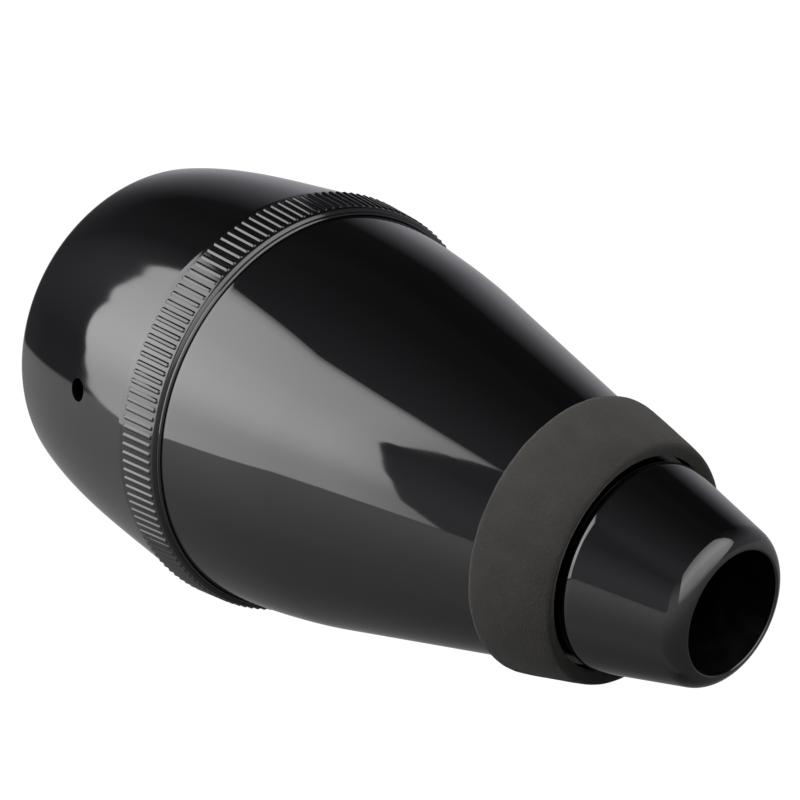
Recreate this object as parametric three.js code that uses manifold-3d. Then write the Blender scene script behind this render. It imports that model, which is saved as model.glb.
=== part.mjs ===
// A moulded practice mute for a small brass instrument, standing on its flat end.
// Millimetres, +Z from the flat end to the nose, origin at the middle of the flat end.

import * as THREE from "three";
import { mergeGeometries, mergeVertices } from "three/addons/utils/BufferGeometryUtils.js";
import Module from "manifold-3d";

const wasm = await Module();
wasm.setup();

// Driving sizes: the end cap
const capLength = 38.3;
const capRimRadius = 34.05;
const capEndInset = 8.0;
const capCorner = 3.9;
const capWall = 2.2;
const capRimEdge = 0.4;
const rimWall = 1.6;
const threadInset = 2.6;
const ventDiameter = 3.7;
const ventMargin = 3.4;
// The side leaves the corner at one lean and reaches the rim at another
const cornerLean = THREE.MathUtils.degToRad(14.4);
const rimLean = THREE.MathUtils.degToRad(4.9);
const rimHandleShare = 0.4;
const cornerHandleShare = 0.28;

// Driving sizes: the screw joint
const fitGap = 0.3;
const partingGap = 0.4;
const threadLead = 4.0;
const threadHeight = 1.1;
const threadFoot = 1.9;
const threadCrest = 1.0;
const spigotLength = 8.8;
const threadRunout = 0.8;
const sealGap = 0.2;
const spigotEdge = 0.4;

// Driving sizes: the cone shell
const coneLength = 65.2;
const rootInset = 1.65;
const shoulderLength = 20.5;
const shoulderFall = 4.0;
const neckWall = 3.1;
const shellWall = 2.2;
const flangeWidth = 1.5;
const flangeHeight = 0.7;
const neckLength = 6.3;
const shoulderHandleShare = 0.385;

// Driving sizes: the grip ring
const ringWidth = 7.3;
const ringStand = 0.25;
const ringFall = 0.72;
const ringEdge = 0.2;
const ringFaceFall = 0.65;
const ringFaceFlat = 0.2;
const ribCount = 150;
const ribHeight = 0.25;
const ribFoot = 0.84;
const ribCrest = 0.4;
const ribRearMargin = 0.2;
const ribFrontMargin = 0.4;
const ribEndSlope = 0.25;

// Driving sizes: the nose, the throat tube and the foam
const noseLength = 16.85;
const noseInset = 0.73;
const noseEndWall = 2.9;
const noseFootRound = 1.5;
const noseLipRound = 3.6;
const noseSpigotLength = 6.0;
const noseSpigotWall = 2.1;
const boreRadius = 8.7;
const boreEdge = 0.3;
const socketDepth = 7.4;
const tubeWall = 1.3;
const tubeLength = 60.6;
const foamThickness = 1.75;
const foamWidth = 11.8;
const foamFrontMargin = 0.3;
const padThickness = 12.0;
const linerThickness = 5.0;
const linerLength = 21.0;
const linerMargin = 0.6;

// One overrun serves every cut and every sunk foot
const overrun = 0.4;

// Counts of straight steps
const turnSteps = 60;
const noseTurnSteps = 48;
const cornerSteps = 4;
const sideSteps = 6;
const shoulderSteps = 5;
const roundSteps = 3;
const lipSteps = 6;
const threadStepsPerTurn = 30;
const threadFadeSteps = 3;
const ribsPerFacet = 2;
const sealSteps = 6;
const ventSteps = 20;

// Stations along the axis, worked out from the sizes
const flangeZ = capLength + partingGap;
const ringFrontZ = flangeZ + ringWidth;
const ringSideEndZ = ringFrontZ - ringFaceFall;
const shoulderZ = ringFrontZ + shoulderLength;
const neckZ = ringFrontZ + coneLength;
const noseFootZ = neckZ + fitGap;
const noseEndZ = noseFootZ + noseLength;
const spigotEndZ = flangeZ - spigotLength;
const threadFloorZ = spigotEndZ - threadRunout;
const ventZ = threadFloorZ - ventMargin - ventDiameter / 2;
const maleThreadZ = spigotEndZ + spigotEdge + threadFoot / 2;

// Radii of the shells and the ring, worked out from the cap's rim
const capEndRadius = capRimRadius - capEndInset;
const rootRadius = capRimRadius - rootInset;
const shoulderRadius = rootRadius - shoulderFall;
const ringRadius = capRimRadius + ringStand;
const ringLean = Math.atan(ringFall / (ringSideEndZ - flangeZ));

// Radii of the joint, from the cap's rim inwards
const glandRadius = capRimRadius - rimWall;
const threadWallRadius = capRimRadius - threadInset;
const maleCrestRadius = threadWallRadius - fitGap;
const spigotRadius = maleCrestRadius - threadHeight;
const femaleCrestRadius = spigotRadius + fitGap;
const spigotBoreRadius = spigotRadius - shellWall;
const sealSection = (glandRadius - spigotRadius) / 2 - sealGap;
const sealRadius = (glandRadius + spigotRadius) / 2;
const sealZ = flangeZ - sealGap - sealSection;
const glandFloorZ = sealZ - sealSection - sealGap;

// Radii of the bore, from the air outwards
const tubeRadius = boreRadius + tubeWall;
const socketRadius = tubeRadius + fitGap;
const noseSpigotRadius = socketRadius + noseSpigotWall;
const neckBoreRadius = noseSpigotRadius + fitGap;
const neckRadius = neckBoreRadius + neckWall;
const noseFootRadius = neckRadius - noseInset;
const noseEndRadius = boreRadius + noseEndWall;

// The straight cone: how fast its radius falls, and how far it leans
const coneFall = (shoulderRadius - neckRadius) / (neckZ - shoulderZ);
const coneLean = Math.atan(coneFall);
const ringBoreRadius = rootRadius + fitGap;
const flangeRadius = rootRadius + flangeHeight;

// A point of an outline: radius, then height
const at = (radius, z) => new THREE.Vector2(radius, z);

// Points of an arc about a centre, between two angles from the radial direction
function arc(centreRadius, centreZ, radius, fromAngle, toAngle, steps) {
  const points = [];
  for (let i = 0; i <= steps; i++) {
    const angle = fromAngle + ((toAngle - fromAngle) * i) / steps;
    points.push(at(centreRadius + radius * Math.cos(angle), centreZ + radius * Math.sin(angle)));
  }
  return points;
}

// Turns a closed outline, drawn anticlockwise, round the Z axis
function revolve(outline, steps = turnSteps) {
  const closed = outline[0].x === 0 ? outline : [...outline, outline[0].clone()];
  return new THREE.LatheGeometry(closed, steps).rotateX(Math.PI / 2);
}

// A closed geometry as a solid that can be cut and joined
function toSolid(geometry) {
  const bare = geometry.clone();
  bare.deleteAttribute("normal");
  bare.deleteAttribute("uv");
  const merged = mergeVertices(bare);
  const mesh = new wasm.Mesh({
    numProp: 3,
    vertProperties: new Float32Array(merged.attributes.position.array),
    triVerts: new Uint32Array(merged.index.array),
  });
  return new wasm.Manifold(mesh);
}

function toGeometry(solid) {
  const mesh = solid.getMesh();
  const geometry = new THREE.BufferGeometry();
  geometry.setAttribute("position", new THREE.BufferAttribute(mesh.vertProperties, 3));
  geometry.setIndex(new THREE.BufferAttribute(mesh.triVerts, 1));
  return geometry;
}

// A helical ridge: a section with its foot at one radius and its crest at another,
// lowered towards the foot at both ends as a moulded thread is. The flats of an
// inward ridge lie on its crest radius, so that they keep their gap.
function threadRidge(footRadius, crestRadius, startZ, startAngle, turns) {
  const steps = Math.round(turns * threadStepsPerTurn);
  const outward = crestRadius > footRadius;
  const fullCrest = outward ? crestRadius : crestRadius / Math.cos(Math.PI / threadStepsPerTurn);
  const sunkRadius = footRadius + Math.sign(footRadius - crestRadius) * overrun;
  const rows = [];
  for (let i = 0; i <= steps; i++) {
    const turned = (turns * i) / steps;
    const angle = startAngle + 2 * Math.PI * turned;
    const z = startZ + threadLead * turned;
    const rise = Math.min(1, (Math.min(i, steps - i) + 1) / (threadFadeSteps + 1));
    const crest = footRadius + (fullCrest - footRadius) * rise;
    const section = [
      at(sunkRadius, z - threadFoot / 2),
      at(crest, z - threadCrest / 2),
      at(crest, z + threadCrest / 2),
      at(sunkRadius, z + threadFoot / 2),
    ];
    rows.push(section.map((p) => [p.x * Math.cos(angle), p.x * Math.sin(angle), p.y]));
  }
  return loft(rows, outward);
}

// Skins rows of like sections, with both ends closed
function loft(rows, outward) {
  const sides = rows[0].length;
  const faces = [];
  const face = (a, b, c) => faces.push(...(outward ? [a, b, c] : [a, c, b]));
  for (let row = 0; row < rows.length - 1; row++)
    for (let side = 0; side < sides; side++) {
      const a = row * sides + side;
      const b = row * sides + ((side + 1) % sides);
      face(a, a + sides, b);
      face(b, a + sides, b + sides);
    }
  const last = (rows.length - 1) * sides;
  for (let side = 1; side < sides - 1; side++) {
    face(0, side, side + 1);
    face(last, last + side + 1, last + side);
  }
  const geometry = new THREE.BufferGeometry();
  geometry.setAttribute("position", new THREE.Float32BufferAttribute(rows.flat(2), 3));
  geometry.setIndex(faces);
  return geometry;
}

// The cap's side from the corner up to the rim, moved inwards by an inset
function capSide(inset) {
  const rimZ = capLength - capRimEdge;
  const foot = at(
    capEndRadius + capCorner * Math.cos(cornerLean),
    capCorner - capCorner * Math.sin(cornerLean),
  );
  const rim = at(capRimRadius, rimZ);
  const footHandle = capLength * cornerHandleShare;
  const rimHandle = capLength * rimHandleShare;
  const side = new THREE.CubicBezierCurve(
    foot,
    at(foot.x + footHandle * Math.sin(cornerLean), foot.y + footHandle * Math.cos(cornerLean)),
    at(rim.x - rimHandle * Math.sin(rimLean), rim.y - rimHandle * Math.cos(rimLean)),
    rim,
  );
  const points = [];
  for (let i = 0; i <= sideSteps; i++) {
    const share = i / sideSteps;
    const point = side.getPoint(share);
    const along = side.getTangent(share);
    points.push(at(point.x - inset * along.y, point.y + inset * along.x));
  }
  return points;
}

// The radius of a rising outline at one height
function radiusAt(points, z) {
  const above = points.findIndex((point) => point.y >= z);
  if (above <= 0) return points[0].x;
  const [low, high] = [points[above - 1], points[above]];
  return low.x + ((high.x - low.x) * (z - low.y)) / (high.y - low.y);
}

const capInside = capSide(capWall);

// The rear cup, with the thread inside its mouth, the groove for the seal, and the vent
function endCap() {
  const corner = arc(capEndRadius, capCorner, capCorner, -Math.PI / 2, -cornerLean, cornerSteps);
  const insideCorner = arc(
    capEndRadius,
    capCorner,
    capCorner - capWall,
    -cornerLean,
    -Math.PI / 2,
    roundSteps,
  );
  const insideSide = capInside.filter((p) => p.y < threadFloorZ - threadRunout).reverse();
  const outline = [
    at(0, 0),
    ...corner,
    ...capSide(0).slice(1),
    at(capRimRadius - capRimEdge, capLength),
    at(glandRadius, capLength),
    at(glandRadius, glandFloorZ),
    at(threadWallRadius, glandFloorZ),
    at(threadWallRadius, threadFloorZ),
    at(radiusAt(capInside, threadFloorZ - threadRunout), threadFloorZ - threadRunout),
    ...insideSide.slice(0, -1),
    ...insideCorner,
    at(0, capWall),
  ];
  const lowest = threadFloorZ + threadFoot / 2;
  const highest = glandFloorZ - threadFoot / 2;
  const turns = (highest - lowest) / threadLead;
  const phase = ((lowest - maleThreadZ - threadLead / 2) / threadLead) * 2 * Math.PI;
  const ridge = threadRidge(threadWallRadius, femaleCrestRadius, lowest, phase, turns);
  const drill = new THREE.CylinderGeometry(
    ventDiameter / 2,
    ventDiameter / 2,
    capRimRadius,
    ventSteps,
  ).translate(0, -capRimRadius, ventZ);
  return toGeometry(toSolid(revolve(outline)).add(toSolid(ridge)).subtract(toSolid(drill)));
}

// The outside of the cone shell from the ring's seat to the straight cone
function shoulderCurve() {
  const handleLength = shoulderLength * shoulderHandleShare;
  return new THREE.QuadraticBezierCurve(
    at(rootRadius, ringFrontZ),
    at(shoulderRadius + coneFall * handleLength, shoulderZ - handleLength),
    at(shoulderRadius, shoulderZ),
  );
}

function coneRadiusAt(z) {
  return shoulderRadius - coneFall * (z - shoulderZ);
}

// The front shell: threaded spigot, flange, ring seat, rounded shoulder, cone and neck
function coneShell() {
  const outside = shoulderCurve().getPoints(shoulderSteps);
  const radialWall = shellWall / Math.cos(coneLean);
  const collarZ = neckZ - neckLength;
  const insideShoulder = outside
    .slice(1)
    .reverse()
    .map((point) => at(point.x - radialWall, point.y))
    .filter((point) => point.x < spigotBoreRadius);
  const meetZ = insideShoulder.at(-1).y - (spigotBoreRadius - insideShoulder.at(-1).x) / coneFall;
  const outline = [
    at(spigotBoreRadius, spigotEndZ),
    at(spigotRadius - spigotEdge, spigotEndZ),
    at(spigotRadius, spigotEndZ + spigotEdge),
    at(spigotRadius, flangeZ),
    at(flangeRadius, flangeZ),
    at(flangeRadius, flangeZ + flangeWidth),
    at(rootRadius, flangeZ + flangeWidth),
    ...outside,
    at(neckRadius, neckZ),
    at(neckBoreRadius, neckZ),
    at(neckBoreRadius, collarZ),
    at(coneRadiusAt(collarZ) - radialWall, collarZ),
    ...insideShoulder,
    at(spigotBoreRadius, meetZ),
  ];
  const highest = glandFloorZ - threadFoot;
  const turns = (highest - maleThreadZ) / threadLead;
  const ridge = threadRidge(spigotRadius, maleCrestRadius, maleThreadZ, 0, turns);
  return toGeometry(toSolid(revolve(outline)).add(toSolid(ridge)));
}

// The radius of the ring's tapered side at one height
function ringRadiusAt(z) {
  return ringRadius - Math.tan(ringLean) * (z - flangeZ);
}

// One raised rib along the ring's side, with sloped ends, its foot sunk in the ring.
// Ribs are counted from half a pitch, so that each stands on a flat of the ring.
function rib(count) {
  const length = ringSideEndZ - flangeZ - ribRearMargin - ribFrontMargin;
  const height = ribHeight + overrun;
  const bar = new THREE.BoxGeometry(height, ribFoot, length);
  const place = bar.attributes.position;
  for (let i = 0; i < place.count; i++) {
    if (place.getX(i) < 0) continue;
    place.setY(i, (Math.sign(place.getY(i)) * ribCrest) / 2);
    place.setZ(i, Math.sign(place.getZ(i)) * (length / 2 - ribEndSlope));
  }
  const middleZ = flangeZ + ribRearMargin + length / 2;
  const angle = (2 * Math.PI * (count + 1 / 2)) / ribCount;
  const middleRadius = ringRadiusAt(middleZ) + ribHeight - height / 2;
  return bar.rotateY(-ringLean).translate(middleRadius, 0, middleZ).rotateZ(angle);
}

// The ribbed ring that the hand turns; its rear counterbore hides the shell's flange
function gripRing() {
  const counterboreRadius = flangeRadius + fitGap;
  const stepZ = flangeZ + flangeWidth + fitGap;
  const outline = [
    at(counterboreRadius, flangeZ),
    at(ringRadius - ringEdge, flangeZ),
    at(ringRadiusAt(flangeZ + ringEdge), flangeZ + ringEdge),
    at(ringRadiusAt(ringSideEndZ), ringSideEndZ),
    at(ringBoreRadius + ringFaceFlat, ringFrontZ),
    at(ringBoreRadius, ringFrontZ),
    at(ringBoreRadius, stepZ),
    at(counterboreRadius, stepZ),
  ];
  const ribs = [];
  for (let i = 0; i < ribCount; i++) ribs.push(rib(i));
  const body = toSolid(revolve(outline, ribCount / ribsPerFacet));
  return toGeometry(body.add(toSolid(mergeGeometries(ribs))));
}

// How far a line leans that touches two rounds of one outline from outside
function leanBetween(low, lowRound, high, highRound) {
  const turned = Math.asin((lowRound - highRound) / low.distanceTo(high));
  return Math.atan2(low.x - high.x, high.y - low.y) + turned;
}

// The nozzle: a spigot in the neck, a rounded foot, a taper and a broad lip, whose arc
// ends at the edge of the bore
function noseTip() {
  const lipMiddle = noseEndRadius - noseLipRound;
  const lipEnd = Math.acos((boreRadius + boreEdge - lipMiddle) / noseLipRound);
  const lip = at(lipMiddle, noseEndZ - noseLipRound * Math.sin(lipEnd));
  const foot = at(noseFootRadius - noseFootRound, noseFootZ + noseFootRound);
  const lean = leanBetween(foot, noseFootRound, lip, noseLipRound);
  const outline = [
    at(socketRadius, noseFootZ - noseSpigotLength),
    at(noseSpigotRadius, noseFootZ - noseSpigotLength),
    at(noseSpigotRadius, noseFootZ),
    ...arc(foot.x, foot.y, noseFootRound, -Math.PI / 2, lean, cornerSteps),
    ...arc(lip.x, lip.y, noseLipRound, lean, lipEnd, lipSteps),
    at(boreRadius, noseEndZ - boreEdge),
    at(boreRadius, noseFootZ - noseSpigotLength + socketDepth),
    at(socketRadius, noseFootZ - noseSpigotLength + socketDepth),
  ];
  return revolve(outline, noseTurnSteps);
}

// The tube that carries the bore from the nose into the chamber
function throatTube() {
  const frontZ = noseFootZ - noseSpigotLength + socketDepth - fitGap;
  const rearZ = frontZ - tubeLength;
  return revolve(
    [
      at(boreRadius, rearZ + boreEdge),
      at(boreRadius + boreEdge, rearZ),
      at(tubeRadius - boreEdge, rearZ),
      at(tubeRadius, rearZ + boreEdge),
      at(tubeRadius, frontZ),
      at(boreRadius, frontZ),
    ],
    noseTurnSteps,
  );
}

// A strip of constant thickness laid on a cone line, from one height, inwards or outwards
function conicalStrip(rearRadius, rearZ, length, thickness) {
  const alongRadius = -Math.sin(coneLean) * length;
  const alongZ = Math.cos(coneLean) * length;
  const acrossRadius = Math.cos(coneLean) * thickness;
  const acrossZ = Math.sin(coneLean) * thickness;
  return [
    at(rearRadius, rearZ),
    at(rearRadius + acrossRadius, rearZ + acrossZ),
    at(rearRadius + acrossRadius + alongRadius, rearZ + acrossZ + alongZ),
    at(rearRadius + alongRadius, rearZ + alongZ),
  ];
}

// The foam strip round the neck end of the cone
function foamRing() {
  const frontZ = neckZ - foamFrontMargin;
  const rearZ = frontZ - foamWidth * Math.cos(coneLean);
  const rearRadius = coneRadiusAt(rearZ) + fitGap / Math.cos(coneLean);
  return revolve(conicalStrip(rearRadius, rearZ, foamWidth, foamThickness - fitGap));
}

// The foam sleeve glued inside the straight part of the cone
function chamberLiner() {
  const rearZ = shoulderZ + linerMargin;
  const wall = (shellWall + fitGap) / Math.cos(coneLean);
  const inner = (z) => coneRadiusAt(z) - wall;
  const strip = conicalStrip(inner(rearZ), rearZ, linerLength, -linerThickness);
  return revolve(strip.reverse());
}

// The foam disc on the floor of the cap
function dampingPad() {
  const floorZ = capWall + fitGap;
  const topZ = floorZ + padThickness;
  const sideRadius = (z) => radiusAt(capInside, z) - fitGap;
  const middleZ = (floorZ + topZ) / 2;
  return revolve([
    at(0, floorZ),
    at(capEndRadius, floorZ),
    at(sideRadius(middleZ), middleZ),
    at(sideRadius(topZ), topZ),
    at(0, topZ),
  ]);
}

function sealRing() {
  return new THREE.TorusGeometry(sealRadius, sealSection, sealSteps, turnSteps).translate(0, 0, sealZ);
}

// Finishes
const glossBlack = { color: 0x0c0c0e, roughness: 0.12, metalness: 0 };
const satinBlack = { color: 0x101012, roughness: 0.35, metalness: 0 };
const foamGrey = { color: 0x44423f, roughness: 0.95, metalness: 0 };
const openFoam = { color: 0x2b2b2d, roughness: 1, metalness: 0 };
const rubberBlack = { color: 0x151515, roughness: 0.7, metalness: 0 };

const mute = new THREE.Group();

function addPiece(name, geometry, finish) {
  const piece = new THREE.Mesh(geometry, new THREE.MeshStandardMaterial(finish));
  piece.name = name;
  mute.add(piece);
}

addPiece("end_cap", endCap(), glossBlack);
addPiece("damping_pad", dampingPad(), openFoam);
addPiece("seal_ring", sealRing(), rubberBlack);
addPiece("cone_shell", coneShell(), glossBlack);
addPiece("grip_ring", gripRing(), satinBlack);
addPiece("chamber_liner", chamberLiner(), openFoam);
addPiece("throat_tube", throatTube(), satinBlack);
addPiece("foam_ring", foamRing(), foamGrey);
addPiece("nose_tip", noseTip(), glossBlack);

export default mute;
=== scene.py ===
# %% [markdown]
# # A practice mute, dressed for its portrait
#
# The mute is a hollow black chamber that is pushed into the bell of a trumpet. It is two
# moulded shells that screw together at a ribbed ring, a short nose with an open bore, and
# a strip of foam that seals and grips in the bell. The solid model gives every size. Here
# each solid gets the smooth curves, the fine ribs, the foam and the finish of the real one.

# %% Load the solid model
import bpy
import math
from mathutils import Matrix, Vector


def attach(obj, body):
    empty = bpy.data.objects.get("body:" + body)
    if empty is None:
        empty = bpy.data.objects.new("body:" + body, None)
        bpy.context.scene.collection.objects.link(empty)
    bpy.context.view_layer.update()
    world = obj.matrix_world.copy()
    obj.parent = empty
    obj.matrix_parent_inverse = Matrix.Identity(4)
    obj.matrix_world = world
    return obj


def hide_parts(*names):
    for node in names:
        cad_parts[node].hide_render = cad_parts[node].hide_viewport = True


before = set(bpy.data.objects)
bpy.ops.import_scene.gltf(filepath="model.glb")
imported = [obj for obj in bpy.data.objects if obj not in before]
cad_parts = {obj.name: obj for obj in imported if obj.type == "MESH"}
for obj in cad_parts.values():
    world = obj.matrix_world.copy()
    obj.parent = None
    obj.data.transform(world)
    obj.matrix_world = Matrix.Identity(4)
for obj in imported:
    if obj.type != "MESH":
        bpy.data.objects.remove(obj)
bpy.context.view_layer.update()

# %% [markdown]
# ## Where the camera stands
#
# The mute stands on its flat end in this frame, but the portrait shows it lying down, nose
# to the lower right. Turning the object would break the frame, so the camera is turned
# instead. A camera is placed by three directions: its right, its up, and the one behind
# it. Written as the columns of a matrix, they give the roll as well as the aim, which an
# aim point alone can't do.

# %% Set up the camera
MM = 0.001
CAMERA_PLACE = Vector((-92.42, -198.48, 264.39)) * MM
CAMERA_RIGHT = Vector((-0.14485, 0.73745, 0.65968))
CAMERA_UP = Vector((-0.94697, 0.08994, -0.30847))
CAMERA_LENS = 87.75
CAMERA_SENSOR = 36.0

camera_data = bpy.data.cameras.new("portrait_camera")
camera_data.lens = CAMERA_LENS
camera_data.sensor_width = CAMERA_SENSOR
camera_data.clip_start = 0.01
camera_data.clip_end = 20.0
camera = bpy.data.objects.new("portrait_camera", camera_data)
bpy.context.scene.collection.objects.link(camera)
right = CAMERA_RIGHT.normalized()
behind = right.cross(CAMERA_UP).normalized()
up = behind.cross(right)
turn = Matrix((right, up, behind)).transposed()
camera.matrix_world = Matrix.Translation(CAMERA_PLACE) @ turn.to_4x4()
bpy.context.scene.camera = camera
print("camera looks along", [round(-v, 3) for v in behind])

# %% [markdown]
# ## Drawing a turned shape
#
# Nearly every piece is round about the bore, so each starts as a half section. It could be
# cut from cylinders, but a drawn section keeps walls, corners and curves in one place.
# A plane is merged to one vertex, and that vertex is extruded from point to point, as one
# draws with Ctrl and the mouse. The closed line is then spun once round the axis. Doubles
# are merged before the faces are turned outwards, because a seam would stop that halfway.

# %% Outline and spin tools
FULL_TURN = 2 * math.pi
TURN_STEPS = 240
SAME_PLACE = 0.004 * MM


def clear():
    """Deselects everything, so that an operator acts on the new piece alone."""
    if bpy.context.object and bpy.context.object.mode != "OBJECT":
        bpy.ops.object.mode_set(mode="OBJECT")
    bpy.ops.object.select_all(action="DESELECT")


def only(piece):
    """Selects one object and nothing else."""
    clear()
    piece.select_set(True)
    bpy.context.view_layer.objects.active = piece


def start(name):
    """Names the primitive that was just added."""
    piece = bpy.context.object
    piece.name = name
    piece.data.name = name
    return piece


def draw(name, points, closed=True):
    """Draws a line through points of (radius, height) in millimetres."""
    clear()
    bpy.ops.mesh.primitive_plane_add(size=MM)
    piece = start(name)
    bpy.ops.object.mode_set(mode="EDIT")
    bpy.ops.mesh.select_mode(type="VERT")
    bpy.ops.mesh.merge(type="CENTER")
    places = [Vector((radius, 0, height)) * MM for radius, height in points]
    bpy.ops.transform.translate(value=places[0])
    for here, there in zip(places, places[1:]):
        bpy.ops.mesh.extrude_region_move(TRANSFORM_OT_translate={"value": there - here})
    bpy.ops.mesh.select_all(action="SELECT")
    if closed:
        bpy.ops.mesh.edge_face_add()
        bpy.ops.mesh.delete(type="ONLY_FACE")
        bpy.ops.mesh.select_all(action="SELECT")
    return piece


def spin(piece, steps=TURN_STEPS, angle=FULL_TURN):
    """Spins the drawn line about the bore and turns its faces outwards."""
    bpy.ops.mesh.spin(steps=steps, angle=angle, center=(0, 0, 0), axis=(0, 0, 1))
    bpy.ops.mesh.select_all(action="SELECT")
    bpy.ops.mesh.remove_doubles(threshold=SAME_PLACE)
    bpy.ops.mesh.normals_make_consistent(inside=False)
    bpy.ops.object.mode_set(mode="OBJECT")
    return piece


def smooth(piece, degrees=32):
    """Smooths the curved faces and keeps the edges that are sharper than the angle."""
    only(piece)
    bpy.ops.object.shade_smooth_by_angle(angle=math.radians(degrees))


def report(piece):
    """Prints how large a piece is and how many faces it has."""
    low = [min(v.co[i] for v in piece.data.vertices) for i in range(3)]
    high = [max(v.co[i] for v in piece.data.vertices) for i in range(3)]
    size = [round((b - a) / MM, 2) for a, b in zip(low, high)]
    print(f"{piece.name}: {size} mm, {len(piece.data.polygons)} faces")


def arc(centre_radius, centre_height, size, start_angle, end_angle, steps):
    """Points along a rounded corner, with angles in degrees from the outward direction."""
    points = []
    for i in range(steps + 1):
        angle = math.radians(start_angle + (end_angle - start_angle) * i / steps)
        points.append((centre_radius + size * math.cos(angle), centre_height + size * math.sin(angle)))
    return points


def bezier(controls, steps):
    """Points along a curve that is pulled by its middle controls, as a pen tool draws."""
    points = [Vector(c) for c in controls]
    line = []
    for i in range(steps + 1):
        share = i / steps
        layer = points
        while len(layer) > 1:
            layer = [a.lerp(b, share) for a, b in zip(layer, layer[1:])]
        line.append(tuple(layer[0]))
    return line


def offset(line, distance):
    """The same curve moved sideways, which gives a shell its inner wall."""
    moved = []
    for i, point in enumerate(line):
        before, after = Vector(line[max(0, i - 1)]), Vector(line[min(len(line) - 1, i + 1)])
        along = (after - before).normalized()
        moved.append((point[0] - distance * along.y, point[1] + distance * along.x))
    return moved


# %% [markdown]
# ## A moulded thread
#
# The shells screw together, so both carry one turn of a coarse moulded ridge. It could be
# carved with a boolean, but the Screw modifier does exactly this: it sweeps a small
# section round the axis and lifts it by the lead. The ends are then eased into the wall,
# as a moulded thread starts, by lowering the crest over the last few steps.

# %% Thread tool
LEAD = 4.0
THREAD_FOOT = 1.9
THREAD_CREST = 1.0
THREAD_SINK = 0.35
THREAD_CORNER = 0.16
THREAD_FADE_STEPS = 12
FIT_GAP = 0.3


def thread(name, foot_radius, crest_radius, height, turned, turns, steps_per_turn=96):
    """A helical ridge from one height, with its first end turned by an angle."""
    outwards = 1 if foot_radius > crest_radius else -1
    sink, corner = outwards * THREAD_SINK, outwards * THREAD_CORNER
    flank = [
        (foot_radius + sink, THREAD_FOOT / 2),
        (foot_radius - corner, THREAD_FOOT / 2 - 0.1),
        (crest_radius + corner, THREAD_CREST / 2 + 0.05),
        (crest_radius, THREAD_CREST / 2 - 0.1),
    ]
    section = [(radius, -above) for radius, above in flank] + flank[::-1]
    piece = draw(name, section)
    bpy.ops.object.mode_set(mode="OBJECT")
    screw = piece.modifiers.new("sweep", "SCREW")
    screw.axis = "Z"
    screw.angle = FULL_TURN * turns
    screw.screw_offset = LEAD * turns * MM
    screw.steps = screw.render_steps = round(steps_per_turn * turns)
    screw.use_smooth_shade = False
    bpy.ops.object.modifier_apply(modifier="sweep")
    corners = len(section)
    last = len(piece.data.vertices) // corners - 1
    for i, vertex in enumerate(piece.data.vertices):
        step = i // corners
        share = min(1.0, min(step, last - step) / THREAD_FADE_STEPS)
        radius = math.hypot(vertex.co.x, vertex.co.y) / MM
        wanted = foot_radius + (radius - foot_radius) * share
        if (radius - foot_radius) * sink < 0:
            vertex.co.x *= wanted / radius
            vertex.co.y *= wanted / radius
    only(piece)
    bpy.ops.object.mode_set(mode="EDIT")
    bpy.ops.mesh.select_all(action="SELECT")
    bpy.ops.mesh.fill_holes(sides=corners)
    bpy.ops.mesh.normals_make_consistent(inside=False)
    bpy.ops.object.mode_set(mode="OBJECT")
    piece.location.z = height * MM
    piece.rotation_euler.z = turned
    bpy.ops.object.transform_apply(location=True, rotation=True, scale=True)
    return piece


def join(piece, others):
    """Joins finished parts of one moulding into a single mesh."""
    only(piece)
    for other in others:
        other.select_set(True)
    bpy.ops.object.join()
    return piece


# %% [markdown]
# ## Node tools for the finishes
#
# Every finish here is built from nodes on Object coordinates, so a pattern has one real
# size on all pieces and stays put when the mute is opened. Numbers that are the same all
# over are typed on the shader itself, and only what varies is linked.

# %% Material helpers
def new_finish(name, colour, roughness, ior=1.5):
    """A node material with its shader ready, and the object's own coordinates."""
    finish = bpy.data.materials.new(name)
    finish.use_nodes = True
    tree = finish.node_tree
    shader = tree.nodes["Principled BSDF"]
    shader.inputs["Base Color"].default_value = (*colour, 1)
    shader.inputs["Roughness"].default_value = roughness
    shader.inputs["IOR"].default_value = ior
    place = tree.nodes.new("ShaderNodeTexCoord")
    finish.diffuse_color = (*colour, 1)
    return finish, tree, shader, place.outputs["Object"]


def noise(tree, place, per_mm, detail=3.0, roughness=0.5):
    """A noise texture with a real size, given as lumps per millimetre."""
    node = tree.nodes.new("ShaderNodeTexNoise")
    node.inputs["Scale"].default_value = per_mm / MM
    node.inputs["Detail"].default_value = detail
    node.inputs["Roughness"].default_value = roughness
    tree.links.new(place, node.inputs["Vector"])
    return node.outputs["Fac"]


def spread(tree, value, low, high, from_low=0.3, from_high=0.7):
    """Maps a pattern to a range of values."""
    node = tree.nodes.new("ShaderNodeMapRange")
    node.inputs["From Min"].default_value = from_low
    node.inputs["From Max"].default_value = from_high
    node.inputs["To Min"].default_value = low
    node.inputs["To Max"].default_value = high
    tree.links.new(value, node.inputs["Value"])
    return node.outputs["Result"]


def feed(tree, socket, value):
    """Types a plain number or colour on a socket, or links a pattern to it."""
    if isinstance(value, tuple):
        socket.default_value = (*value, 1)
    elif isinstance(value, (int, float)):
        socket.default_value = value
    else:
        tree.links.new(value, socket)


def mix(tree, share, first, second, blend_type="MIX"):
    """Goes from one colour to another by a share, or multiplies the first by the second."""
    node = tree.nodes.new("ShaderNodeMix")
    node.data_type = "RGBA"
    node.blend_type = blend_type
    for name, value in (("Factor", share), ("A", first), ("B", second)):
        feed(tree, node.inputs[name], value)
    return node.outputs["Result"]


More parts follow.
